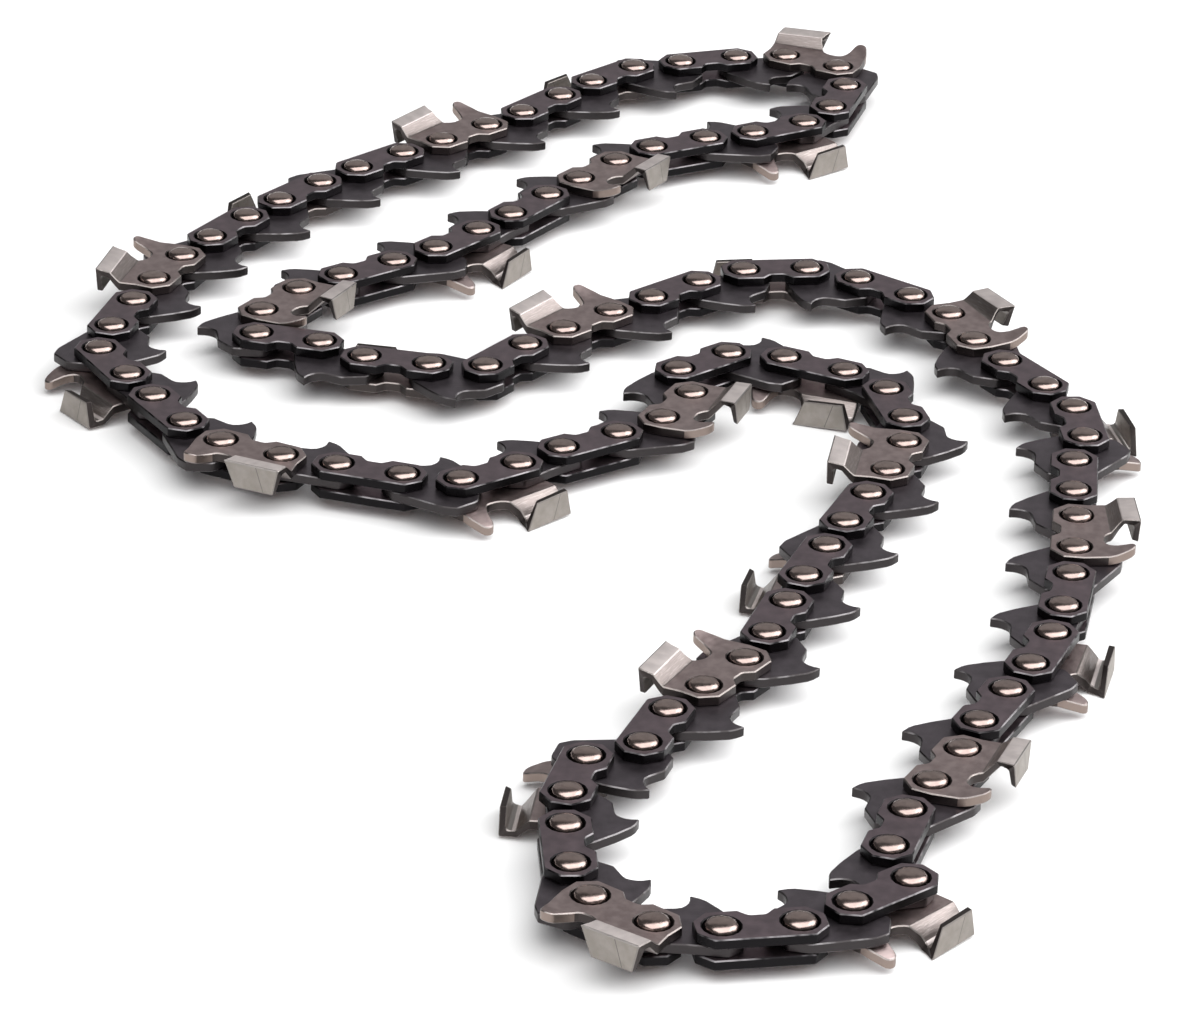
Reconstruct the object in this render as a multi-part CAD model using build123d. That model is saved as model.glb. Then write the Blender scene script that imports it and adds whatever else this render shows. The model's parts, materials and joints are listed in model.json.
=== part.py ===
from build123d import *
import math
import os

# A saw chain of 3/8 inch pitch, closed into a loop that lies on its side.
# Lengths are in millimetres. In a link's own frame, x runs the way the chain travels, y points to the
# cutting side, away from the tangs, and z runs along the rivets from the chain's middle plane.

# Chain
DRIVE_LINKS = 56
LINKS_PER_CUTTER_PAIR = 4
PITCH = 9.525
PLATE_HOLES = 10.3
GAUGE = 1.5
PLATE = 1.5
SIDE_PLAY = 0.06

# Rivets
HUB_RADIUS = 2.2
HUB_PLAY = 0.1
HUB_FLATS = 6

# Side plates
PLATE_GAP = 1.0
NOTCH_DEPTH = 1.3
NOTCH_FLOOR = 2.2
NOTCH_MOUTH = 4.8

# Drive links
DRIVE_END = 3.0
SADDLE = 0.35
ROOT_BACK = 2.2
ROOT_DROP = 3.4
STEP_AHEAD = 1.0
STEP_DROP = 5.7
SCOOP_AT = 6.7
SCOOP_DROP = 6.3
TANG_DEPTH = 9.4
TANG_TIP = 5.5
TANG_FLAT = 2.6
TANG_FLAT_RISE = 0.3

# Cutters, with their heights at the cutting edge, from where they fall away to the heel
CREASE = 5.2
SET_OUT = 2.0
SET_OUT_RUN = 1.65
CUTTER_HEIGHT = 9.5
TOP_PLATE = 1.0
TOP_PLATE_WIDTH = 4.2
TOP_PLATE_FRONT = 4.6
HEEL = 4.0
EDGE_SKEW = 23
RELIEF_ANGLE = 7.5
DEPTH_SETTING = 0.65
DEPTH_GAUGE_LENGTH = 3.5
DEPTH_GAUGE_LEAD = 2.5
DEPTH_GAUGE_CREST = 1.1
DEPTH_GAUGE_RAMP = 1.5
DEPTH_GAUGE_RAMP_DROP = 2.35
GULLET_FLOOR = 4.3
GULLET_CORNER = 1.0

# Where the loop lies: points of its centre line, once round in the direction of travel
ROUTE = [
    (27.5, -115.7), (8, -117), (0, -110), (-3, -92), (-2.5, -81), (0, -73), (7, -69.5), (10.5, -59.5),
    (21, -44), (30, -17), (36, 0), (46, 31), (43, 47), (32, 55), (19, 57.5), (11.5, 51),
    (13.5, 42.5), (9, 33), (-6, 21.5), (-21, 9.5), (-34, 12), (-57, 20), (-72, 41), (-78, 51),
    (-76, 63), (-68, 88), (-48, 119.5), (-18, 150), (3, 175), (12, 178.5), (30, 183), (39, 178.5),
    (40, 169), (33, 153), (7, 139.5), (-5, 125), (-27, 95), (-48, 77), (-54, 67.5), (-54.5, 59),
    (-43, 56), (-36, 51), (-26, 49.5), (-17.5, 50), (-12, 58.5), (7, 77.5), (22, 89.5), (34, 90.5),
    (53, 77), (58, 65), (72, 42), (73, 31), (70.5, 21), (70, 2), (64.5, -33), (52.5, -61),
    (50, -69), (45, -79), (42, -86), (39.5, -96), (42, -104), (34, -110.5),
]
ROUTE_SAMPLES = 24

# Sizes that follow
DRIVE_HOLES = 2 * PITCH - PLATE_HOLES
PLATE_BOTTOM = GAUGE / 2 + SIDE_PLAY
PLATE_TOP = PLATE_BOTTOM + PLATE
REST_HEIGHT = PLATE_TOP + SET_OUT
PLATE_CORNER = (DRIVE_HOLES - PLATE_GAP) / 2
PLATE_REACH = PLATE_CORNER * math.cos(math.radians(22.5))
PLATE_FACET = PLATE_CORNER * math.sin(math.radians(22.5))
DRIVE_FACET = DRIVE_END * math.tan(math.radians(22.5))
HOLE_RADIUS = (HUB_RADIUS + HUB_PLAY) / math.cos(math.pi / HUB_FLATS)


def smooth_loop(points):
    """A closed line of short runs: a centripetal Catmull-Rom curve through the points."""
    line = []
    for i in range(len(points)):
        before, here, there, after = (points[(i + k) % len(points)] for k in (-1, 0, 1, 2))
        first = math.dist(before, here) ** 0.5
        middle = math.dist(here, there) ** 0.5
        last = math.dist(there, after) ** 0.5
        for j in range(ROUTE_SAMPLES):
            t = j / ROUTE_SAMPLES
            spot = []
            for b, h, r, a in zip(before, here, there, after):
                leave = (r - h) + middle * ((h - b) / first - (r - b) / (first + middle))
                arrive = (r - h) + middle * ((a - r) / last - (a - h) / (middle + last))
                spot.append(
                    (2 * t**3 - 3 * t**2 + 1) * h
                    + (t**3 - 2 * t**2 + t) * leave
                    + (3 * t**2 - 2 * t**3) * r
                    + (t**3 - t**2) * arrive
                )
            line.append(tuple(spot))
    return line


def step_along(line, steps):
    """Spots on the closed line, each a straight step from the one before, and the turns that they make."""
    spot = line[0]
    spots = [spot]
    at = 0
    for step in steps:
        while math.dist(line[(at + 1) % len(line)], spot) < step:
            at += 1
        (ax, ay), (bx, by) = line[at % len(line)], line[(at + 1) % len(line)]
        run = (bx - ax) ** 2 + (by - ay) ** 2
        half = (ax - spot[0]) * (bx - ax) + (ay - spot[1]) * (by - ay)
        short = (ax - spot[0]) ** 2 + (ay - spot[1]) ** 2 - step**2
        along = (math.sqrt(half**2 - run * short) - half) / run
        spot = (ax + along * (bx - ax), ay + along * (by - ay))
        spots.append(spot)
    return spots, (at + along) / len(line)


def lay_rivets():
    """Rivet centres, trailing then leading for each pair of plates, on the route sized so that the loop closes."""
    steps = [PLATE_HOLES, DRIVE_HOLES] * DRIVE_LINKS
    small, large = 0.25, 4.0
    for _ in range(50):
        size = (small + large) / 2
        spots, turns = step_along(smooth_loop([(size * x, size * y) for x, y in ROUTE]), steps)
        if turns > 1:
            small = size
        else:
            large = size
    return spots[:-1]


def plate_outline(cutting_side):
    """Half an octagon round each rivet, a notch on the tang side, and the points of the cutting side."""
    middle = PLATE_HOLES / 2
    return [
        (-PLATE_REACH, PLATE_FACET),
        (-PLATE_REACH, -PLATE_FACET),
        (-PLATE_FACET, -PLATE_REACH),
        (middle - NOTCH_MOUTH / 2, -PLATE_REACH),
        (middle - NOTCH_FLOOR / 2, NOTCH_DEPTH - PLATE_REACH),
        (middle + NOTCH_FLOOR / 2, NOTCH_DEPTH - PLATE_REACH),
        (middle + NOTCH_MOUTH / 2, -PLATE_REACH),
        (PLATE_HOLES + PLATE_FACET, -PLATE_REACH),
        (PLATE_HOLES + PLATE_REACH, -PLATE_FACET),
        (PLATE_HOLES + PLATE_REACH, PLATE_FACET),
        *cutting_side,
    ]


def make_upper_plate(cutting_side):
    return Pos(0, 0, PLATE_BOTTOM) * extrude(Polygon(*plate_outline(cutting_side), align=None), PLATE)


def make_tie_strap():
    return make_upper_plate([(PLATE_HOLES + PLATE_FACET, PLATE_REACH), (-PLATE_FACET, PLATE_REACH)])


def make_right_cutter():
    """A side plate with a depth gauge in front and, behind the gullet, the bent-out and bent-over cutting part."""
    crest = CUTTER_HEIGHT - DEPTH_SETTING
    nose = PLATE_HOLES + DEPTH_GAUGE_LEAD
    back = nose - DEPTH_GAUGE_LENGTH
    slope = math.tan(math.radians(RELIEF_ANGLE))
    length = HEEL + TOP_PLATE_FRONT
    plate = make_upper_plate([
        (nose, crest - DEPTH_GAUGE_RAMP_DROP),
        (nose - DEPTH_GAUGE_RAMP, crest),
        (nose - DEPTH_GAUGE_RAMP - DEPTH_GAUGE_CREST, crest),
        (back, GULLET_FLOOR + GULLET_CORNER),
        (back - GULLET_CORNER, GULLET_FLOOR),
        (TOP_PLATE_FRONT + GULLET_CORNER, GULLET_FLOOR),
        (TOP_PLATE_FRONT, CREASE),
        (-HEEL, CREASE - slope * length),
    ])
    outer = PLATE_TOP + SET_OUT
    inner = outer - TOP_PLATE
    free_edge = outer - TOP_PLATE_WIDTH
    section = Polygon(
        (CREASE, PLATE_BOTTOM),
        (CREASE + SET_OUT_RUN, inner),
        (CUTTER_HEIGHT - TOP_PLATE, inner),
        (CUTTER_HEIGHT - TOP_PLATE, free_edge),
        (CUTTER_HEIGHT, free_edge),
        (CUTTER_HEIGHT, outer),
        (CREASE + SET_OUT_RUN, outer),
        (CREASE, PLATE_TOP),
        align=None,
    )
    bent = extrude(Plane.YZ.offset(TOP_PLATE_FRONT) * section, length, dir=(-1, -slope, 0))
    skew = math.radians(EDGE_SKEW)
    corner = (TOP_PLATE_FRONT, CUTTER_HEIGHT, outer)
    front = Plane(corner, x_dir=(0, 1, 0), z_dir=(math.cos(skew), 0, -math.sin(skew)))
    bent = split(bent, bisect_by=front, keep=Keep.BOTTOM)
    return plate + bent


def make_drive_link():
    """The centre plate with its tang, in one with its trailing rivet's hub; the leading rivet turns in its hole."""
    outline = Polygon(
        (-DRIVE_FACET, DRIVE_END),
        (-DRIVE_END, DRIVE_FACET),
        (-DRIVE_END, -DRIVE_FACET),
        (-ROOT_BACK, -ROOT_DROP),
        (TANG_TIP - TANG_FLAT, TANG_FLAT_RISE - TANG_DEPTH),
        (TANG_TIP, -TANG_DEPTH),
        (SCOOP_AT, -SCOOP_DROP),
        (DRIVE_HOLES + STEP_AHEAD, -STEP_DROP),
        (DRIVE_HOLES + DRIVE_END, -ROOT_DROP),
        (DRIVE_HOLES + DRIVE_END, DRIVE_FACET),
        (DRIVE_HOLES + DRIVE_FACET, DRIVE_END),
        (DRIVE_HOLES / 2, DRIVE_END - SADDLE),
        align=None,
    )
    hole = Pos(DRIVE_HOLES, 0) * RegularPolygon(HOLE_RADIUS, HUB_FLATS)
    return Pos(0, 0, -GAUGE / 2) * extrude(outline - hole, GAUGE)


def make_rivet_hub():
    """The part of a rivet between the plates, which it holds apart."""
    return Pos(0, 0, -PLATE_BOTTOM) * extrude(RegularPolygon(HUB_RADIUS, HUB_FLATS), 2 * PLATE_BOTTOM)


def link_kind(number):
    if number % LINKS_PER_CUTTER_PAIR == LINKS_PER_CUTTER_PAIR / 2:
        return "right_cutter"
    if number % LINKS_PER_CUTTER_PAIR == 0:
        return "left_cutter"
    return "tie_straps"


def place(start, end):
    """The place of a piece from one rivet to the next, in the loop's middle plane."""
    heading = math.degrees(math.atan2(end[1] - start[1], end[0] - start[0]))
    return Pos(start[0], start[1], REST_HEIGHT) * Rot(0, 0, heading)


tie_strap = make_tie_strap()
right_cutter = make_right_cutter()
left_cutter = mirror(right_cutter, about=Plane.XY)
lower_strap = mirror(tie_strap, about=Plane.XY)
drive_link = make_drive_link()
rivet_hub = make_rivet_hub()

rivets = lay_rivets()
links = {}
for number in range(1, DRIVE_LINKS + 1):
    trailing, leading, ahead = (rivets[i % len(rivets)] for i in (2 * number - 2, 2 * number - 1, 2 * number))
    kind = link_kind(number)
    plates_at = place(trailing, leading)
    links[f"link_{number:02d}_{kind}"] = Compound([
        place(leading, ahead) * drive_link.solid(),
        plates_at * (right_cutter if kind == "right_cutter" else tie_strap).solid(),
        plates_at * (left_cutter if kind == "left_cutter" else lower_strap).solid(),
        plates_at * rivet_hub.solid(),
    ])

middle = Compound(list(links.values())).bounding_box().center()
to_origin = Pos(-middle.X, -middle.Y, 0)
os.makedirs("parts", exist_ok=True)
for name, link in links.items():
    export_step(to_origin * link, f"parts/{name}.step")
for number in range(1, DRIVE_LINKS + 1):
    x, y = rivets[2 * number - 2]
    print(f"link {number:02d} turns about x {x - middle.X:.4f}, y {y - middle.Y:.4f}")
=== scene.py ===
# %% [markdown]
# # A saw chain, closed into a loop
#
# The object is a chainsaw's chain lying on its side. Between its two rows of side plates run the drive
# links, whose pointed tangs face into the loop. Two of every eight side plates are cutters. This lesson
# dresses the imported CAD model: each link gets punched edges, staked rivets and worn steel, and it still
# moves with its own body.

# %% Load the frame
import json
import math

import bmesh
import bpy
from mathutils import Matrix, Vector
from mathutils.geometry import tessellate_polygon


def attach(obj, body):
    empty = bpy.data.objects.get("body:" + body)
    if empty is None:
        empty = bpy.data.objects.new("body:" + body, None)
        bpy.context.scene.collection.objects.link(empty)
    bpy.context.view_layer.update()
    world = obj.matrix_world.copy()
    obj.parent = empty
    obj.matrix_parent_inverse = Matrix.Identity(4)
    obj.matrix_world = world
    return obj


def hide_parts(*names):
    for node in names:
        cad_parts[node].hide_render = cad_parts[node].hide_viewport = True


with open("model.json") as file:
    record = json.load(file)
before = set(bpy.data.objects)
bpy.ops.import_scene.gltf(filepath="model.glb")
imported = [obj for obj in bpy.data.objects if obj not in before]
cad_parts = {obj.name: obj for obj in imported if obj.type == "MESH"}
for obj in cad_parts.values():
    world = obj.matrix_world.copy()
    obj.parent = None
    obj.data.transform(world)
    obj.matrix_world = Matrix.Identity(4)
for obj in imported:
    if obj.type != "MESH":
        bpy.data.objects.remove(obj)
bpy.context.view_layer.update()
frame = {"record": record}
MM = 0.001

# %% [markdown]
# ## Where the rivets lie
#
# The rivets are the chain's skeleton, so they are laid out first. A smooth closed line runs through
# listed points, and equal steps along it give the rivets: a long step over each pair of side plates
# and a short one over each drive link. The line is scaled until the last step meets the first. The CAD
# source lays them the same way, and one pivot from the imported record shows how far that source then moved
# the loop to centre it.

# %% Sizes of the chain, in millimetres
DRIVE_LINKS = 56
PITCH = 9.525
PLATE_HOLES = 10.3
DRIVE_HOLES = 2 * PITCH - PLATE_HOLES
GAUGE = 1.5
PLATE = 1.5
SIDE_PLAY = 0.06
SET_OUT = 2.0
PLATE_BOTTOM = GAUGE / 2 + SIDE_PLAY
PLATE_TOP = PLATE_BOTTOM + PLATE
REST_HEIGHT = PLATE_TOP + SET_OUT

ROUTE = [
    (27.5, -115.7), (8, -117), (0, -110), (-3, -92), (-2.5, -81), (0, -73), (7, -69.5), (10.5, -59.5),
    (21, -44), (30, -17), (36, 0), (46, 31), (43, 47), (32, 55), (19, 57.5), (11.5, 51),
    (13.5, 42.5), (9, 33), (-6, 21.5), (-21, 9.5), (-34, 12), (-57, 20), (-72, 41), (-78, 51),
    (-76, 63), (-68, 88), (-48, 119.5), (-18, 150), (3, 175), (12, 178.5), (30, 183), (39, 178.5),
    (40, 169), (33, 153), (7, 139.5), (-5, 125), (-27, 95), (-48, 77), (-54, 67.5), (-54.5, 59),
    (-43, 56), (-36, 51), (-26, 49.5), (-17.5, 50), (-12, 58.5), (7, 77.5), (22, 89.5), (34, 90.5),
    (53, 77), (58, 65), (72, 42), (73, 31), (70.5, 21), (70, 2), (64.5, -33), (52.5, -61),
    (50, -69), (45, -79), (42, -86), (39.5, -96), (42, -104), (34, -110.5),
]
ROUTE_SAMPLES = 24
SMALLEST, LARGEST = 0.25, 4.0
HALVINGS = 50
print("loop:", round(2 * PITCH * DRIVE_LINKS, 1), "mm along its rivets")


# %% Lay the rivets
def smooth_loop(points):
    """A closed line of short runs: a centripetal Catmull-Rom curve through the points."""
    line = []
    for i in range(len(points)):
        before, here, there, after = (points[(i + k) % len(points)] for k in (-1, 0, 1, 2))
        first = math.dist(before, here) ** 0.5
        middle = math.dist(here, there) ** 0.5
        last = math.dist(there, after) ** 0.5
        for j in range(ROUTE_SAMPLES):
            t = j / ROUTE_SAMPLES
            spot = []
            for b, h, r, a in zip(before, here, there, after):
                leave = (r - h) + middle * ((h - b) / first - (r - b) / (first + middle))
                arrive = (r - h) + middle * ((a - r) / last - (a - h) / (middle + last))
                spot.append(
                    (2 * t**3 - 3 * t**2 + 1) * h
                    + (t**3 - 2 * t**2 + t) * leave
                    + (3 * t**2 - 2 * t**3) * r
                    + (t**3 - t**2) * arrive
                )
            line.append(tuple(spot))
    return line


def step_along(line, steps):
    """Spots on the closed line, each a straight step from the one before, and the turns that they make."""
    spot = line[0]
    spots = [spot]
    at = 0
    for step in steps:
        while math.dist(line[(at + 1) % len(line)], spot) < step:
            at += 1
        (ax, ay), (bx, by) = line[at % len(line)], line[(at + 1) % len(line)]
        run = (bx - ax) ** 2 + (by - ay) ** 2
        half = (ax - spot[0]) * (bx - ax) + (ay - spot[1]) * (by - ay)
        short = (ax - spot[0]) ** 2 + (ay - spot[1]) ** 2 - step**2
        along = (math.sqrt(half**2 - run * short) - half) / run
        spot = (ax + along * (bx - ax), ay + along * (by - ay))
        spots.append(spot)
    return spots, (at + along) / len(line)


def lay_rivets():
    """Rivet centres, trailing then leading for each pair of plates."""
    steps = [PLATE_HOLES, DRIVE_HOLES] * DRIVE_LINKS
    small, large = SMALLEST, LARGEST
    for _ in range(HALVINGS):
        size = (small + large) / 2
        spots, turns = step_along(smooth_loop([(size * x, size * y) for x, y in ROUTE]), steps)
        if turns > 1:
            small = size
        else:
            large = size
    return spots[:-1]


laid = lay_rivets()
pivots = {joint["name"]: joint["pos_m"] for joint in frame["record"]["behaviour"]["joints"]}
centred = Vector(pivots["pivot_02"]) - MM * Vector((*laid[2], REST_HEIGHT))
rivets = [MM * Vector((x, y, REST_HEIGHT)) + centred for x, y in laid]
print("rivets:", len(rivets), "loop moved by", [round(1000 * c, 3) for c in centred], "mm")

# %% [markdown]
# ## The camera
#
# A long lens looks down along the loop. Its height, distance, focal length and small roll were worked out
# from the rivets: their spacing is known, so the way it shrinks towards the back tells where the camera
# stood. The camera comes before any shape, because every later comparison depends on it.

# %% Camera
IMAGE_WIDTH = 1200
FOCAL_PIXELS = 5607
LOOK_DOWN = math.radians(26.35)
ROLL = math.radians(1.98)
CAMERA_DISTANCE = 0.8223
AIM = Vector((0.15, -1.1, REST_HEIGHT + 2.65))
SENSOR_WIDTH = 36

lens = bpy.data.cameras.new("camera")
lens.sensor_fit = "HORIZONTAL"
lens.sensor_width = SENSOR_WIDTH
lens.lens = FOCAL_PIXELS / IMAGE_WIDTH * SENSOR_WIDTH
lens.clip_start = 0.01
lens.clip_end = 20
camera = bpy.data.objects.new("camera", lens)
bpy.context.scene.collection.objects.link(camera)
looked_at = MM * AIM + Vector((centred.x, centred.y, 0))
stand = looked_at + CAMERA_DISTANCE * Vector((0, -math.cos(LOOK_DOWN), math.sin(LOOK_DOWN)))
aim = Matrix.Rotation(math.pi / 2 - LOOK_DOWN, 4, "X") @ Matrix.Rotation(ROLL, 4, "Z")
camera.matrix_world = Matrix.Translation(stand) @ aim
bpy.context.scene.camera = camera
print("camera at", [round(c, 3) for c in stand], "lens", round(lens.lens, 1))


# %% [markdown]
# ## Two helpers for node trees
#
# Geometry and shader trees are both boards of nodes joined by wires. A Wire stands for one output and
# takes part in sums as a number does, so a recipe reads like arithmetic. A Board adds any node with one
# method: its type first, then its settings, then what goes into its sockets.

# %% Wire and Board
class Wire:
    """A node's output. A sum with it adds a Math node."""

    def __init__(self, board, socket):
        self.board = board
        self.socket = socket

    def other(self, name):
        return Wire(self.board, self.socket.node.outputs[name])

    def __add__(self, value):
        return self.board.math("ADD", self, value)

    def __radd__(self, value):
        return self.board.math("ADD", value, self)

    def __sub__(self, value):
        return self.board.math("SUBTRACT", self, value)

    def __rsub__(self, value):
        return self.board.math("SUBTRACT", value, self)

    def __mul__(self, value):
        return self.board.math("MULTIPLY", self, value)

    def __rmul__(self, value):
        return self.board.math("MULTIPLY", value, self)


class Board:
    """A node tree with one method that adds any node."""

    def __init__(self, tree):
        self.tree = tree

    def node(self, kind, settings=None, sockets=None, out=0):
        made = self.tree.nodes.new(kind)
        for name, value in (settings or {}).items():
            if name == "profile":
                self.set_profile(made.mapping, value)
            else:
                setattr(made, name, value)
        for key, value in (sockets or {}).items():
            for part in value if isinstance(value, list) else [value]:
                if isinstance(part, Wire):
                    self.tree.links.new(part.socket, made.inputs[key])
                else:
                    made.inputs[key].default_value = part
        return Wire(self, made.outputs[out]) if len(made.outputs) else None

    def set_profile(self, mapping, points):
        line = mapping.curves[0].points
        while len(line) < len(points):
            line.new(0.5, 0.5)
        for point, place in zip(line, points):
            point.location = place
            point.handle_type = "VECTOR"
        mapping.update()

    def math(self, operation, *values):
        return self.node("ShaderNodeMath", {"operation": operation}, dict(enumerate(values)))

    def vector(self, operation, *values):
        return self.node("ShaderNodeVectorMath", {"operation": operation}, dict(enumerate(values)))

    def blend(self, share, first, second):
        return self.node("ShaderNodeMix", {"data_type": "RGBA"}, {0: share, 6: first, 7: second}, out=2)


print("helpers ready: Wire, Board")


# %% [markdown]
# ## Punched plates
#
# Every plate is cut from sheet steel by a punch and then tumbled, so its outline has small radii and its
# edges a narrow bevel that catches the light. An outline is a list of corners, each with its radius. The
# plate is built ring by ring: bevel, wall, bevel, with the two faces filled between the outline and the
# holes. Attributes keep what the finish will need later: the place on the plate in millimetres, and
# whether a face is bevel, wall or flat.

# %% Outlines and plates
ARC_STEP = math.radians(24)
BEVEL = 0.16
HOLE_SIDES = 16
ROUND_MOST = 0.48
STRAIGHT = 0.01
SHARPEST = 0.5
HALF_FACET = math.radians(22.5)
BEVEL_EDGE, WALL_EDGE = 1.0, 0.5
STRAP, DRIVE, CUTTER, RIVET = 0.0, 1.0, 2.0, 3.0
GAUGE_PART, SLOPE_PART, PANEL_PART, FOLD_PART, TOP_PART = 1.0, 2.0, 3.0, 4.0, 5.0


def rounded(corners):
    """The points of a closed outline, counter-clockwise, from corners of x, y and radius."""
    line = []
    for i, (x, y, radius) in enumerate(corners):
        here = Vector((x, y))
        back = Vector(corners[i - 1][:2]) - here
        ahead = Vector(corners[(i + 1) % len(corners)][:2]) - here
        turn = math.pi - back.angle(ahead)
        if radius == 0 or turn < STRAIGHT:
            line.append(here)
            continue
        cut = min(radius * math.tan(turn / 2), ROUND_MOST * back.length, ROUND_MOST * ahead.length)
        radius = cut / math.tan(turn / 2)
        middle = (back.normalized() + ahead.normalized()).normalized()
        centre = here + middle * radius / math.cos(turn / 2)
        start = here + back.normalized() * cut - centre
        side = 1 if back.cross(ahead) < 0 else -1
        count = max(1, round(turn / ARC_STEP))
        for k in range(count + 1):
            line.append(centre + Matrix.Rotation(side * turn * k / count, 2) @ start)
    return line


def ring(x, y, radius):
    """A hole's outline, clockwise, so that the metal is on its left as it is for an outer outline."""
    turns = [-2 * math.pi * k / HOLE_SIDES for k in range(HOLE_SIDES)]
    return [Vector((x + radius * math.cos(t), y + radius * math.sin(t))) for t in turns]


def inset(outline, by):
    """The outline moved into the metal."""
    moved = []
    for i, here in enumerate(outline):
        arrive = (here - outline[i - 1]).normalized()
        leave = (outline[(i + 1) % len(outline)] - here).normalized()
        across = Vector((-arrive.y - leave.y, arrive.x + leave.x))
        moved.append(here + by * across / max(SHARPEST, 1 + arrive.dot(leave)))
    return moved


def punch(outline, holes, low, high):
    """A bevelled plate between two heights, as a bmesh in millimetres."""
    plate = bmesh.new()
    edge = plate.faces.layers.float.new("edge")
    lines = [outline, *holes]
    heights = (low, low + BEVEL, high - BEVEL, high)
    stacks = []
    for line in lines:
        shrunk = inset(line, BEVEL)
        rings = (shrunk, line, line, shrunk)
        stacks.append([[plate.verts.new((*p, z)) for p in points] for points, z in zip(rings, heights)])
    for stack in stacks:
        rim = BEVEL_EDGE if stack is stacks[0] else WALL_EDGE
        for k, kind in enumerate((rim, WALL_EDGE, rim)):
            lower, upper = stack[k], stack[k + 1]
            for i in range(len(lower)):
                j = (i + 1) % len(lower)
                plate.faces.new((lower[i], lower[j], upper[j], upper[i]))[edge] = kind
    for level, up in ((0, -1), (3, 1)):
        loops = [stack[level] for stack in stacks]
        corners = [vert for loop in loops for vert in loop]
        for triple in tessellate_polygon([[vert.co for vert in loop] for loop in loops]):
            face = plate.faces.new([corners[i] for i in triple])
            face.normal_update()
            if face.normal.z * up < 0:
                face.normal_flip()
    return plate


def finished(name, plate, finish, flip=False):
    """The plate as an object in metres, with the attributes that its finish reads."""
    if not plate.verts.layers.float_vector.get("spot"):
        note_spots(plate)
    if flip:
        bmesh.ops.scale(plate, vec=(1, 1, -1), verts=plate.verts)
        bmesh.ops.reverse_faces(plate, faces=plate.faces)
    kind = plate.faces.layers.float.new("finish")
    for face in plate.faces:
        face[kind] = finish
    bmesh.ops.scale(plate, vec=(MM, MM, MM), verts=plate.verts)
    mesh = bpy.data.meshes.new(name)
    plate.to_mesh(mesh)
    plate.free()
    made = bpy.data.objects.new(name, mesh)
    bpy.context.scene.collection.objects.link(made)
    print(name, len(mesh.polygons), "faces")
    return made


def note_spots(plate):
    """Keeps each point's place on the flat plate."""
    spot = plate.verts.layers.float_vector.new("spot")
    for vert in plate.verts:
        vert[spot] = vert.co


# %% [markdown]
# ## Tie straps and drive links
#
# A tie strap is half an octagon round each rivet, with a notch on the side of the tangs. A drive link
# carries the tang: its front is scooped out to a hooked tip that lifts oil out of the bar's groove, and
# its back is gently curved. Ahead of every cutter the drive link also has a hump on its outer side, which
# rises to the depth gauge and keeps twigs from catching there. Straps and drive links are cut with the
# same punch function. The rivet holes are countersunk, so that a dark ring shows round each rivet's head.

# %% Tie strap
PLATE_GAP = 1.0
PLATE_CORNER = (DRIVE_HOLES - PLATE_GAP) / 2
PLATE_REACH = PLATE_CORNER * math.cos(HALF_FACET)
PLATE_FACET = PLATE_CORNER * math.sin(HALF_FACET)
NOTCH_DEPTH = 1.3
NOTCH_FLOOR = 2.2
NOTCH_MOUTH = 4.8
CORNER = 0.4
NOTCH_CORNER = 0.25
NOTCH_ROUND = 0.9
SEAT_RADIUS = 2.6


def plate_corners(cutting_side):
    """The corners that straps and cutters share, then those of the cutting side."""
    middle = PLATE_HOLES / 2
    return [
        (-PLATE_REACH, PLATE_FACET, CORNER),
        (-PLATE_REACH, -PLATE_FACET, CORNER),
        (-PLATE_FACET, -PLATE_REACH, CORNER),
        (middle - NOTCH_MOUTH / 2, -PLATE_REACH, NOTCH_CORNER),
        (middle - NOTCH_FLOOR / 2, NOTCH_DEPTH - PLATE_REACH, NOTCH_ROUND),
        (middle + NOTCH_FLOOR / 2, NOTCH_DEPTH - PLATE_REACH, NOTCH_ROUND),
        (middle + NOTCH_MOUTH / 2, -PLATE_REACH, NOTCH_CORNER),
        (PLATE_HOLES + PLATE_FACET, -PLATE_REACH, CORNER),
        (PLATE_HOLES + PLATE_REACH, -PLATE_FACET, CORNER),
        (PLATE_HOLES + PLATE_REACH, PLATE_FACET, CORNER),
        *cutting_side,
    ]


strap_outline = rounded(plate_corners([
    (PLATE_HOLES + PLATE_FACET, PLATE_REACH, CORNER),
    (-PLATE_FACET, PLATE_REACH, CORNER),
]))
seats = [ring(0, 0, SEAT_RADIUS), ring(PLATE_HOLES, 0, SEAT_RADIUS)]
upper_strap = finished("upper_strap", punch(strap_outline, seats, PLATE_BOTTOM, PLATE_TOP), STRAP)
lower_strap = finished("lower_strap", punch(strap_outline, seats, PLATE_BOTTOM, PLATE_TOP), STRAP, flip=True)

# %% Drive link
DRIVE_END = 3.0
DRIVE_FACET = DRIVE_END * math.tan(HALF_FACET)
DRIVE_CORNER = 0.8
SADDLE_DROP = 0.35
SADDLE_ROUND = 4.0
tang_side = [
    (-DRIVE_END, -DRIVE_FACET, DRIVE_CORNER),
    (-2.3, -3.6, 1.5),
    (0.3, -6.8, 6.0),
    (2.6, -9.15, 2.0),
    (4.5, -9.75, 0.12),
    (4.45, -8.3, 1.5),
    (5.3, -6.55, 1.7),
    (8.9, -6.05, 0.4),
    (DRIVE_HOLES + DRIVE_END, -3.4, DRIVE_CORNER),
    (DRIVE_HOLES + DRIVE_END, DRIVE_FACET, DRIVE_CORNER),
]
saddle = [
    (DRIVE_HOLES + DRIVE_FACET, DRIVE_END, DRIVE_CORNER),
    (DRIVE_HOLES / 2, DRIVE_END - SADDLE_DROP, SADDLE_ROUND),
    (-DRIVE_FACET, DRIVE_END, DRIVE_CORNER),
    (-DRIVE_END, DRIVE_FACET, DRIVE_CORNER),
]
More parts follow.
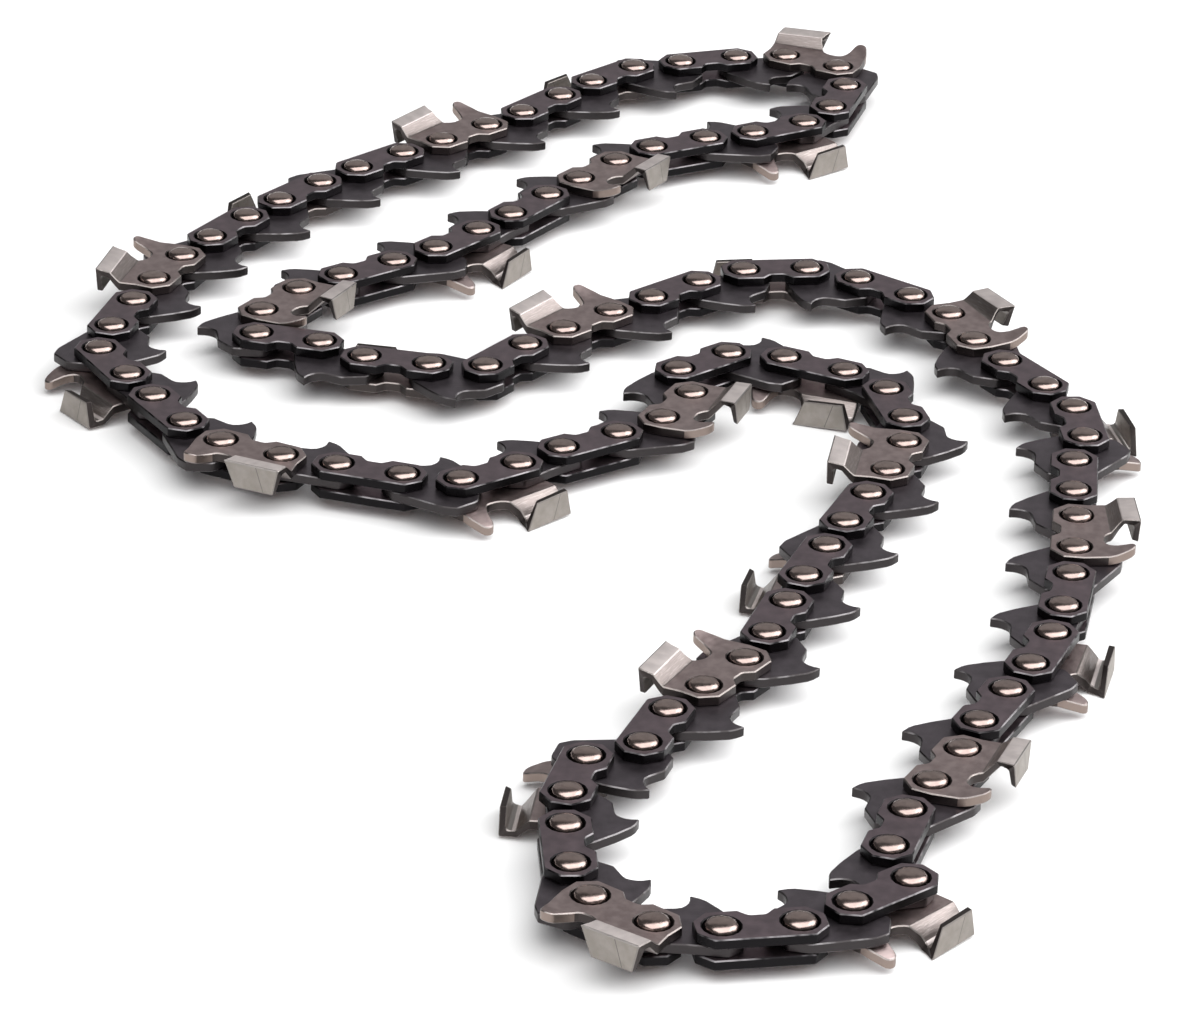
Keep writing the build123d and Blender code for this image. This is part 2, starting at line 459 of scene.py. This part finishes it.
hump = [
    (9.7, 3.5, 1.0),
    (1.7, 7.0, 1.5),
    (-0.4, 7.12, 0.5),
    (-3.2, 4.2, 1.5),
    (-DRIVE_END, DRIVE_FACET, DRIVE_CORNER),
]


def make_drive_link(name, outer_side):
    return finished(name, punch(rounded(tang_side + outer_side), [], -GAUGE / 2, GAUGE / 2), DRIVE)


drive_link = make_drive_link("drive_link", saddle)
bumper_link = make_drive_link("bumper_link", hump)


# %% [markdown]
# ## Cutters
#
# A cutter starts as the same flat plate with more on its cutting side: a depth gauge in front, a round
# gullet, and behind it a flap that the press bends outwards and then folds over the chain. Cutting the
# flat blank first and then bending it keeps the curved front edge true, as the press does. Two lines, the
# outer and the inner skin of the sheet, give the bent section. A point's distance from the rivets says
# how far along these lines it goes, and its height in the sheet how far between them.

# %% Section of the bent part
CREASE = 5.2
SET_OUT_RUN = 1.65
CUTTER_HEIGHT = 9.5
TOP_PLATE = 1.0
TOP_PLATE_WIDTH = 4.2
TOP_PLATE_FRONT = 4.6
RELIEF = math.tan(math.radians(7.5))
SIDE_RELIEF = 0.045
PANEL_LEAN = 0.25
CREASE_INSIDE = 0.1
RIDGE_INSIDE = 0.3
OUTER_BENDS = (0.4, 0.4, 0.2)
INNER_BENDS = (0.4, 0.4, 0.7)
BEND_STEPS = 3
CORNER_STEPS = 4


def fold(corners, radii, counts):
    """The points of an open line whose inner corners are bent to these radii."""
    line = [Vector(corners[0])]
    for (before, here, after), radius, count in zip(zip(corners, corners[1:], corners[2:]), radii, counts):
        back = (Vector(before) - Vector(here)).normalized()
        ahead = (Vector(after) - Vector(here)).normalized()
        turn = math.pi - back.angle(ahead)
        cut = radius * math.tan(turn / 2)
        for k in range(count + 1):
            t = k / count
            arc_in = Vector(here) + back * cut * (1 - t)
            arc_out = Vector(here) + ahead * cut * t
            line.append(arc_in.lerp(arc_out, t))
    line.append(Vector(corners[-1]))
    return line


rise = PLATE_TOP + SET_OUT
ridge = CREASE + SET_OUT_RUN
free_edge = rise - TOP_PLATE_WIDTH
bends = (BEND_STEPS, BEND_STEPS, CORNER_STEPS)
outer_skin = fold([
    (0, PLATE_TOP),
    (CREASE, PLATE_TOP),
    (ridge, rise - PANEL_LEAN),
    (CUTTER_HEIGHT, rise),
    (CUTTER_HEIGHT, free_edge),
], OUTER_BENDS, bends)
inner_skin = fold([
    (0, PLATE_BOTTOM),
    (CREASE + CREASE_INSIDE, PLATE_BOTTOM),
    (ridge + RIDGE_INSIDE, rise - PANEL_LEAN - TOP_PLATE),
    (CUTTER_HEIGHT - TOP_PLATE, rise - TOP_PLATE),
    (CUTTER_HEIGHT - TOP_PLATE, free_edge),
], INNER_BENDS, bends)
knots = [0.0]
for k in range(1, len(outer_skin)):
    runs = ((skin[k] - skin[k - 1]).length for skin in (outer_skin, inner_skin))
    knots.append(knots[-1] + sum(runs) / 2)
ridge_knot = BEND_STEPS + 2
corner_knot = ridge_knot + BEND_STEPS + 1
print("flat blank reaches", round(knots[-1], 2), "mm, corner at", round(knots[corner_knot], 2))

# %% Bending the blank
GAUGE_FROM = 7.4
FALL_FROM = 2.0
FILED_BACK = 0.6
GAUGE_BASE = 4.8
GAUGE_TIP = 8.85
GAUGE_SET = 1.2
GAUGE_CURVE = 1.5
GAUGE_CUTS = (6.2, 7.6)
FILED_FROM = 2.0
HAIR = 1e-6


def bend(plate):
    """Cuts the blank along its bend lines, notes the flat places, bends the flap and the gauge."""
    for place in [*knots[1:-1], *GAUGE_CUTS]:
        everything = [*plate.verts, *plate.edges, *plate.faces]
        bmesh.ops.bisect_plane(plate, geom=everything, plane_co=(0, place, 0), plane_no=(0, 1, 0))
    note_spots(plate)
    ground = plate.faces.layers.float.new("ground")
    for face in plate.faces:
        middle = face.calc_center_median()
        if middle.x > GAUGE_FROM:
            face[ground] = GAUGE_PART if middle.y > GAUGE_BASE else 0.0
        elif middle.y > knots[corner_knot]:
            face[ground] = TOP_PART if middle.y > knots[corner_knot + CORNER_STEPS] else FOLD_PART
        elif middle.y > knots[1]:
            face[ground] = SLOPE_PART if middle.y < knots[ridge_knot] else PANEL_PART
    for vert in plate.verts:
        vert.co = bend_gauge(*vert.co) if vert.co.x > GAUGE_FROM else bend_flap(*vert.co)


def bend_gauge(along, out, height):
    """The depth gauge leans out towards its tip."""
    lean = max(0, (out - GAUGE_BASE) / (GAUGE_TIP - GAUGE_BASE))
    return along, out, height + GAUGE_SET * lean**GAUGE_CURVE


def bend_flap(along, out, height):
    """The cutting part follows the bent section, falls away to the heel and is filed from inside."""
    if out <= FALL_FROM:
        return along, out, height
    k = max(i for i in range(len(knots) - 1) if knots[i] <= out + HAIR)
    part = (out - knots[k]) / (knots[k + 1] - knots[k])
    level = (height - PLATE_BOTTOM) / PLATE
    inside = inner_skin[k].lerp(inner_skin[k + 1], part)
    outside = outer_skin[k].lerp(outer_skin[k + 1], part)
    skin = inside.lerp(outside, level)
    behind = max(0, TOP_PLATE_FRONT - along)
    drop = RELIEF * behind * min(1, max(0, (out - FALL_FROM) / (CREASE - FALL_FROM)))
    raised = min(1, max(0, (out - CREASE) / SET_OUT_RUN))
    filed = FILED_BACK * raised * (1 - level) if along > FILED_FROM else 0
    return along - filed, skin.x - drop, skin.y - SIDE_RELIEF * behind * raised


print("bend lines:", len(knots) - 2)


# %% Cutter blank
depth_gauge = [
    (12.9, 6.4, 2.5),
    (11.7, 8.9, 1.3),
    (10.0, 8.8, 1.0),
    (9.5, 6.0, 3.0),
    (8.6, 4.25, 1.3),
]
ridge_at = knots[ridge_knot]
corner_at = (knots[corner_knot] + knots[corner_knot + CORNER_STEPS]) / 2
blank_end = knots[-1]
flap = [
    (6.4, 4.25, 1.3),
    (5.2, 5.0, 1.0),
    (3.9, ridge_at, 3.0),
    (TOP_PLATE_FRONT, corner_at, 0.1),
    (2.9, blank_end, 0.1),
    (-3.2, blank_end, 0.15),
    (-4.12, corner_at, 0.15),
    (-4.1, ridge_at, 1.0),
    (-4.05, CREASE, 1.0),
]
blank_outline = rounded(plate_corners(depth_gauge + flap))


def make_cutter(name, flip):
    plate = punch(blank_outline, seats, PLATE_BOTTOM, PLATE_TOP)
    bend(plate)
    return finished(name, plate, CUTTER, flip)


right_cutter = make_cutter("right_cutter", False)
left_cutter = make_cutter("left_cutter", True)

# %% [markdown]
# ## Rivet heads
#
# Each rivet is a short pin that is spun over at both ends into a low, round dome. There are 224 of these
# ends, so the head is made by a small Geometry Nodes tree: a grid is rolled round into a ring, and two
# curves give each row its radius and its height. The seam and the tip are then merged.

# %% Rivet head tree
HEAD_RADIUS = 2.25
HEAD_SIDES = 12
SEAM = 1e-6
PIN_CLEAR = 0.02
PIN_END = GAUGE / 2 + PIN_CLEAR - PLATE_TOP
HEAD_PROFILE = [
    (0, PIN_END), (HEAD_RADIUS, PIN_END), (HEAD_RADIUS, 0),
    (2.02, 0.36), (1.6, 0.58), (0.9, 0.69), (0, 0.72),
]
HEAD_RISE = HEAD_PROFILE[-1][1]


def new_tree(name, inputs):
    """An empty geometry tree with these named inputs and one geometry output."""
    tree = bpy.data.node_groups.new(name, "GeometryNodeTree")
    tree.interface.new_socket("Geometry", in_out="OUTPUT", socket_type="NodeSocketGeometry")
    for label, kind in inputs.items():
        tree.interface.new_socket(label, in_out="INPUT", socket_type="NodeSocket" + kind)
    board = Board(tree)
    start = board.node("NodeGroupInput")
    return tree, board, {label: start.other(label) for label in inputs}


head_tree, board, given = new_tree("domed rivet head", {
    "Radius": "Float", "Rise": "Float", "Pin end": "Float", "Sides": "Int", "Finish": "Float",
})
grid = board.node("GeometryNodeMeshGrid", {}, {
    "Size X": 1.0, "Size Y": 1.0, "Vertices X": given["Sides"] + 1, "Vertices Y": len(HEAD_PROFILE),
})
place = board.node("GeometryNodeInputPosition")
parts = board.node("ShaderNodeSeparateXYZ", {}, {"Vector": place})
turn = (parts + 0.5) * (2 * math.pi)
row = parts.other("Y") + 0.5
rows = [k / (len(HEAD_PROFILE) - 1) for k in range(len(HEAD_PROFILE))]
shares = [(r / HEAD_RADIUS, (z - PIN_END) / (HEAD_RISE - PIN_END)) for r, z in HEAD_PROFILE]
reach, height = (
    board.node("ShaderNodeFloatCurve", {"profile": list(zip(rows, column))}, {"Value": row})
    for column in zip(*shares)
)
radius = reach * given["Radius"]
rolled = board.node("ShaderNodeCombineXYZ", {}, {
    "X": radius * board.math("COSINE", turn),
    "Y": radius * board.math("SINE", turn),
    "Z": height * (given["Rise"] - given["Pin end"]) + given["Pin end"],
})
domed = board.node("GeometryNodeSetPosition", {}, {"Geometry": grid, "Position": rolled})
closed = board.node("GeometryNodeMergeByDistance", {}, {"Geometry": domed, "Distance": SEAM})
marked = board.node("GeometryNodeStoreNamedAttribute", {"data_type": "FLOAT", "domain": "FACE"}, {
    "Geometry": closed, "Name": "finish", "Value": given["Finish"],
})
in_mm = board.node("ShaderNodeVectorMath", {"operation": "SCALE"}, {0: place, "Scale": 1 / MM})
spots = board.node("GeometryNodeStoreNamedAttribute", {"data_type": "FLOAT_VECTOR", "domain": "POINT"}, {
    "Geometry": marked, "Name": "spot", "Value": in_mm,
})
board.node("NodeGroupOutput", {}, {"Geometry": spots})
print("rivet head tree:", len(head_tree.nodes), "nodes")


# %% Objects made by a tree
def with_tree(name, tree, values):
    """A new object whose shape comes from the tree, with its inputs set by their identifiers."""
    made = bpy.data.objects.new(name, bpy.data.meshes.new(name))
    bpy.context.scene.collection.objects.link(made)
    modifier = made.modifiers.new("nodes", "NODES")
    modifier.node_group = tree
    for item in tree.interface.items_tree:
        if item.in_out == "INPUT":
            modifier[item.identifier] = values[item.name]
    return made


def settle(made):
    """Turns what the tree makes into the object's own plain mesh."""
    graph = bpy.context.evaluated_depsgraph_get()
    mesh = bpy.data.meshes.new_from_object(made.evaluated_get(graph), depsgraph=graph)
    made.modifiers.clear()
    made.data = mesh
    mesh.name = made.name
    return mesh


rivet_head = with_tree("rivet_head", head_tree, {
    "Radius": HEAD_RADIUS * MM, "Rise": HEAD_RISE * MM, "Pin end": PIN_END * MM,
    "Sides": HEAD_SIDES, "Finish": RIVET,
})
print("rivet head:", len(settle(rivet_head).polygons), "faces")


# %% [markdown]
# ## Steel in four finishes
#
# The straps and drive links are dark oxide with oil on it, the cutters are plated, and the rivets are
# bare. All four read the same attributes: the place on the plate, the link's number so that no two look
# alike, and the edge value. Broad noise clouds the tone, stretched noise gives scratches along the chain,
# and the bevels show bright metal where handling has worn them. The cut walls, except the depth gauge's,
# get a tone far darker than the faces: painted shade. On the straps and drive links the unworn bevels
# take that painted shade too, as does the fold of each cutter.

# %% What the finishes share
SAME = 0.1
LINK_SHIFT = (13.7, 7.3)
BUMP_STRENGTH = 0.5
CLOUDS = (0.35, 0.65)


class Steel(Board):
    """A material's board, with the readings and patterns that the finishes share."""

    def __init__(self, name):
        self.material = bpy.data.materials.new(name)
        self.material.use_nodes = True
        super().__init__(self.material.node_tree)
        self.tree.nodes.clear()
        self.spot = self.read("spot", "Vector")
        edge = self.read("edge", "Fac")
        self.bevel = self.math("COMPARE", edge, BEVEL_EDGE, SAME)
        self.wall = self.math("COMPARE", edge, WALL_EDGE, SAME)
        number = self.read("link", "Fac")
        shift = self.node("ShaderNodeCombineXYZ", {}, {
            "X": number * LINK_SHIFT[0], "Y": number * LINK_SHIFT[1],
        })
        self.place = self.vector("ADD", self.spot, shift)

    def read(self, name, out):
        return self.node("ShaderNodeAttribute", {"attribute_name": name}, out=out)

    def noise(self, scale, detail, stretch=(1, 1, 1)):
        drawn = self.vector("MULTIPLY", self.place, stretch)
        sockets = {"Vector": drawn, "Scale": scale, "Detail": detail}
        return self.node("ShaderNodeTexNoise", {}, sockets, out="Fac")

    def ramp(self, value, low, high):
        sockets = {"Value": value, "From Min": low, "From Max": high}
        return self.node("ShaderNodeMapRange", {"clamp": True}, sockets)

    def finish(self, colour, rough, bumps, depth):
        bump = self.node("ShaderNodeBump", {}, {
            "Strength": BUMP_STRENGTH, "Distance": depth * MM, "Height": bumps,
        })
        surface = self.node("ShaderNodeBsdfPrincipled", {}, {
            "Base Color": colour, "Roughness": rough, "Metallic": 1.0, "Normal": bump,
        })
        self.node("ShaderNodeOutputMaterial", {}, {"Surface": surface})
        print("finish:", self.material.name, len(self.tree.nodes), "nodes")
        return self.material


# %% Straps and drive links
def dark_steel(name, low, high, side, worn):
    steel = Steel(name)
    cloud = steel.noise(0.5, detail=4.0)
    fine = steel.noise(6.0, detail=3.0)
    scratch = steel.ramp(steel.noise(2.2, detail=2.0, stretch=(0.25, 4.0, 1.0)), 0.62, 0.72)
    colour = steel.blend(steel.ramp(cloud, 0.3, 0.7), low, high)
    colour = steel.blend(scratch * 0.25, colour, worn)
    # Painted shade: the walls take the side colour, near-black and far darker than the faces of the same
    # oxide steel.
    colour = steel.blend(steel.wall, colour, side)
    # The bevels mix worn metal with the walls' painted shade in broad patches.
    bevel_wear_and_shade = steel.blend(steel.ramp(steel.noise(0.35, detail=2.0), 0.4, 0.6), side, worn)
    colour = steel.blend(steel.bevel, colour, bevel_wear_and_shade)
    rough = 0.28 + cloud * 0.14 + fine * 0.08 - scratch * 0.06
    return steel.finish(colour, rough, fine + scratch * 0.6, 0.02)


strap_steel = dark_steel(
    "strap_oxide",
    low=(0.185, 0.147, 0.163, 1),
    high=(0.25, 0.196, 0.216, 1),
    # side: painted shade for the walls.
    side=(0.014, 0.013, 0.014, 1),
    worn=(0.2, 0.188, 0.196, 1),
)
drive_steel = dark_steel(
    "drive_link_oxide",
    low=(0.13, 0.113, 0.126, 1),
    high=(0.173, 0.15, 0.167, 1),
    # side: painted shade for the walls.
    side=(0.05, 0.045, 0.046, 1),
    worn=(0.19, 0.18, 0.185, 1),
)

# %% Cutters
WEAR_MARK_AT = 0.4
WEAR_MARK_SHIFT = 1.4
WEAR_MARK_SLANT = WEAR_MARK_SHIFT / (blank_end - corner_at)
WEAR_MARK_HALF = 0.06
PLATE_TONES = (0.36, 0.282, 0.276, 1), (0.46, 0.37, 0.362, 1)
SLOPE_TONES = (0.25, 0.215, 0.205, 1), (0.38, 0.34, 0.325, 1)
PANEL_TONES = (0.66, 0.6, 0.585, 1), (0.76, 0.695, 0.675, 1)
TOP_TONES = (0.29, 0.265, 0.24, 1), (0.35, 0.32, 0.295, 1)
MARK_TONE = (0.17, 0.155, 0.145, 1)
# Painted shade: the fold between panel and top plate is much darker than the panel, so it shows no highlight
# where it bends.
FOLD_PAINTED_SHADE = (0.34, 0.315, 0.3, 1)
# Painted shade: the cutters' cut walls get a near-black tone in place of the shade they lie in.
CUT_WALL_SHADE = (0.06, 0.051, 0.049, 1)
GAUGE_CUT_TONE = (0.27, 0.215, 0.19, 1)
WORN_TONE = (0.26, 0.236, 0.224, 1)

steel = Steel("cutter_plating")
ground = steel.read("ground", "Fac")
cloud = steel.noise(0.7, detail=4.0)
fine = steel.noise(7.0, detail=3.0)
scratch = steel.ramp(steel.noise(2.0, detail=3.0, stretch=(0.3, 5.0, 1.0)), 0.5, 0.7)
gauge_part, slope_part, panel_part, top_part, fold_shade_mask = (
    steel.math("COMPARE", ground, part, SAME)
    for part in (GAUGE_PART, SLOPE_PART, PANEL_PART, TOP_PART, FOLD_PART)
)
clouded = steel.ramp(cloud, *CLOUDS)
plate_tone = steel.blend(clouded, *PLATE_TONES)
slope_tone = steel.blend(scratch, *SLOPE_TONES)
panel_tone = steel.blend(clouded, *PANEL_TONES)
top_tone = steel.blend(clouded, *TOP_TONES)
flat = steel.node("ShaderNodeSeparateXYZ", {}, {"Vector": steel.spot})
from_mark = flat + WEAR_MARK_AT + (flat.other("Y") - corner_at) * WEAR_MARK_SLANT
wear_mark = steel.math("COMPARE", from_mark, 0.0, WEAR_MARK_HALF)
top_tone = steel.blend(wear_mark, top_tone, MARK_TONE)
colour = steel.blend(slope_part, plate_tone, slope_tone)
colour = steel.blend(panel_part, colour, panel_tone)
colour = steel.blend(top_part, colour, top_tone)
# The fold faces take their painted shade.
colour = steel.blend(fold_shade_mask, colour, FOLD_PAINTED_SHADE)
# The walls take the painted shade; the depth gauge's filed walls keep their own tone below.
colour = steel.blend(steel.wall, colour, CUT_WALL_SHADE)
colour = steel.blend(steel.wall * gauge_part, colour, GAUGE_CUT_TONE)
colour = steel.blend(steel.bevel * steel.ramp(fine, 0.25, 0.5), colour, WORN_TONE)
rough = 0.3 + cloud * 0.1 + fine * 0.08 + (panel_part + top_part) * 0.16
cutter_steel = steel.finish(colour, rough, fine + scratch, 0.015)

# %% Rivets
RIVET_TONES = (0.37, 0.286, 0.264, 1), (0.45, 0.352, 0.322, 1)

steel = Steel("rivet_steel")
cloud = steel.noise(1.1, detail=3.0)
fine = steel.noise(9.0, detail=2.0)
colour = steel.blend(steel.ramp(cloud, *CLOUDS), *RIVET_TONES)
rough = 0.19 + cloud * 0.1
rivet_steel = steel.finish(colour, rough, fine, 0.003)

# %% [markdown]
# ## Riveting the links
#
# One tree puts a link together: two plates on their rivets, the drive link that the leading rivet
# carries, and four staked ends. It turns each piece towards the next rivet, numbers the link for its
# finish, and gives every face the steel that its attribute asks for. All 56 links use this tree with
# their own rivets. Each becomes a plain mesh that rides its body and takes the place of the CAD node.

# %% Riveted link tree
def shape_of(board, piece):
    """The geometry of an object that the tree is given."""
    settings = {"transform_space": "ORIGINAL"}
    return board.node("GeometryNodeObjectInfo", settings, {"Object": piece}, out="Geometry")


def laid_on(board, piece, start, end):
    """A piece's geometry on its first rivet, turned towards the second."""
    run = board.node("ShaderNodeSeparateXYZ", {}, {"Vector": board.vector("SUBTRACT", end, start)})
    heading = board.node("ShaderNodeCombineXYZ", {}, {"Z": board.math("ARCTAN2", run.other("Y"), run)})
    return board.node("GeometryNodeTransform", {}, {
        "Geometry": shape_of(board, piece), "Translation": start, "Rotation": heading,
    })


STEELS = {"Strap steel": STRAP, "Drive link steel": DRIVE, "Cutter steel": CUTTER, "Rivet steel": RIVET}
link_tree, board, given = new_tree("riveted link", {
    "Upper plate": "Object", "Lower plate": "Object", "Drive link": "Object", "Rivet head": "Object",
    "Trailing rivet": "Vector", "Leading rivet": "Vector", "Next rivet": "Vector",
    "Head seat": "Float", "Link number": "Float", **{label: "Material" for label in STEELS},
})
plates = [
    laid_on(board, given["Upper plate"], given["Trailing rivet"], given["Leading rivet"]),
    laid_on(board, given["Lower plate"], given["Trailing rivet"], given["Leading rivet"]),
    laid_on(board, given["Drive link"], given["Leading rivet"], given["Next rivet"]),
]
head = shape_of(board, given["Rivet head"])
ends = board.node("GeometryNodeMeshLine", {"mode": "END_POINTS"}, {
    "Count": 2, "Start Location": given["Trailing rivet"], "Offset": given["Leading rivet"],
})
heads = []
for side, turned in ((1, 0.0), (-1, math.pi)):
    lift = board.node("ShaderNodeCombineXYZ", {}, {"Z": given["Head seat"] * side})
    seated = board.node("GeometryNodeSetPosition", {}, {"Geometry": ends, "Offset": lift})
    heads.append(board.node("GeometryNodeInstanceOnPoints", {}, {
        "Points": seated, "Instance": head, "Rotation": (turned, 0.0, 0.0),
    }))
joined = board.node("GeometryNodeJoinGeometry", {}, {"Geometry": [*plates, *heads]})
whole = board.node("GeometryNodeRealizeInstances", {}, {"Geometry": joined})
whole = board.node("GeometryNodeStoreNamedAttribute", {"data_type": "FLOAT", "domain": "FACE"}, {
    "Geometry": whole, "Name": "link", "Value": given["Link number"],
})
kind = board.node("GeometryNodeInputNamedAttribute", {"data_type": "FLOAT"}, {"Name": "finish"})
for label, finish in STEELS.items():
    chosen = board.math("COMPARE", kind, finish, SAME)
    whole = board.node("GeometryNodeSetMaterial", {}, {
        "Geometry": whole, "Selection": chosen, "Material": given[label],
    })
board.node("NodeGroupOutput", {}, {"Geometry": whole})
print("riveted link tree:", len(link_tree.nodes), "nodes")

# %% Assemble the loop
SHARP = math.radians(32)
links = {}
for body, members in frame["record"]["behaviour"]["bodies"].items():
    node = members[0]
    number = int(body.split("_")[1])
    first = 2 * (number - 1)
    links[node] = with_tree(body + "_steel", link_tree, {
        "Upper plate": right_cutter if node.endswith("right_cutter") else upper_strap,
        "Lower plate": left_cutter if node.endswith("left_cutter") else lower_strap,
        "Drive link": drive_link if node.endswith("tie_straps") else bumper_link, "Rivet head": rivet_head,
        "Trailing rivet": rivets[first], "Leading rivet": rivets[first + 1],
        "Next rivet": rivets[(first + 2) % len(rivets)],
        "Head seat": PLATE_TOP * MM, "Link number": float(number),
        "Strap steel": strap_steel, "Drive link steel": drive_steel,
        "Cutter steel": cutter_steel, "Rivet steel": rivet_steel,
    })
graph = bpy.context.evaluated_depsgraph_get()
shapes = {
    node: bpy.data.meshes.new_from_object(made.evaluated_get(graph), depsgraph=graph)
    for node, made in links.items()
}
triangles = 0
for node, made in links.items():
    made.modifiers.clear()
    made.data = shapes[node]
    made.data.shade_smooth()
    made.data.set_sharp_from_angle(angle=SHARP)
    triangles += sum(len(face.vertices) - 2 for face in made.data.polygons)
    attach(made, node[:len("link_00")])
    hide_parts(node)
for piece in (upper_strap, lower_strap, drive_link, bumper_link, right_cutter, left_cutter, rivet_head):
    bpy.data.objects.remove(piece)
print("links:", len(links), "triangles:", triangles)

# %% [markdown]
# ## Floor, lamps and surroundings
#
# The photo is a product shot on white. A broad soft lamp hangs high on the camera's side: it whitens the
# floor and puts a bright crescent on the near flank of every rivet. A dim card at the back is what the
# flat tops mirror, and a small one on the right brightens the faces that look that way. The rest of the
# surroundings is nearly black, so walls and gaps stay dark. The white comes from the floor: near the
# chain it is lit paper that keeps the soft shadows, and further off it turns into a plain white that the
# camera and the metal's reflections both see.

# %% Floor
FLOOR_HALF = 6.0
SHADOWS_END = 0.4
BLANK_FROM = 0.8
PAPER = (0.9, 0.9, 0.9, 1)
WHITE = (1, 1, 1, 1)

floor_mesh = bpy.data.meshes.new("floor")
floor_corners = [(FLOOR_HALF * x, FLOOR_HALF * y, 0) for x, y in ((-1, -1), (1, -1), (1, 1), (-1, 1))]
floor_mesh.from_pydata(floor_corners, [], [(0, 1, 2, 3)])
floor = bpy.data.objects.new("floor", floor_mesh)
bpy.context.scene.collection.objects.link(floor)
white = bpy.data.materials.new("white_floor")
white.use_nodes = True
white.node_tree.nodes.clear()
board = Board(white.node_tree)
paper = board.node("ShaderNodeBsdfDiffuse", {}, {"Color": PAPER})
blank = board.node("ShaderNodeEmission", {}, {"Color": WHITE, "Strength": 1.0})
ray = board.node("ShaderNodeLightPath", out="Is Camera Ray")
mirrored = board.math("MAXIMUM", ray.other("Is Glossy Ray"), ray.other("Is Transmission Ray"))
place = board.node("ShaderNodeTexCoord", out="Object")
away = board.node("ShaderNodeVectorMath", {"operation": "LENGTH"}, {0: place}, out="Value")
far_off = board.node("ShaderNodeMapRange", {"clamp": True}, {
    "Value": away, "From Min": SHADOWS_END, "From Max": BLANK_FROM,
})
shown = board.math("MAXIMUM", ray, mirrored)
sheet = board.node("ShaderNodeMixShader", {}, {0: far_off * shown, 1: paper, 2: blank})
board.node("ShaderNodeOutputMaterial", {}, {"Surface": sheet})
floor.data.materials.append(white)
print("floor", 2 * FLOOR_HALF, "m wide")


# %% Lamps and surroundings
def card(name, place, width, height, watts):
    """A soft lamp aimed at the loop."""
    lamp = bpy.data.lights.new(name, "AREA")
    lamp.shape = "RECTANGLE"
    lamp.size = width
    lamp.size_y = height
    lamp.energy = watts
    made = bpy.data.objects.new(name, lamp)
    made.location = place
    made.rotation_euler = (-Vector(place)).to_track_quat("-Z", "Y").to_euler()
    bpy.context.scene.collection.objects.link(made)


card("key", (0.25, -0.45, 1.2), width=2.8, height=1.9, watts=44.0)
card("side_card", (1.3, 0.3, 0.7), width=1.2, height=1.2, watts=15.0)
card("far_card", (0.0, 1.6, 0.8), width=2.4, height=1.3, watts=3.0)

ROOM_LIGHT = 0.065
world = bpy.data.worlds.new("surroundings")
bpy.context.scene.world = world
world.use_nodes = True
world.node_tree.nodes.clear()
board = Board(world.node_tree)
sky = board.node("ShaderNodeBackground", {}, {"Color": WHITE, "Strength": ROOM_LIGHT})
board.node("ShaderNodeOutputWorld", {}, {"Surface": sky})
bpy.context.scene.view_settings.view_transform = "Standard"
print("lamps: 3, surroundings dim")
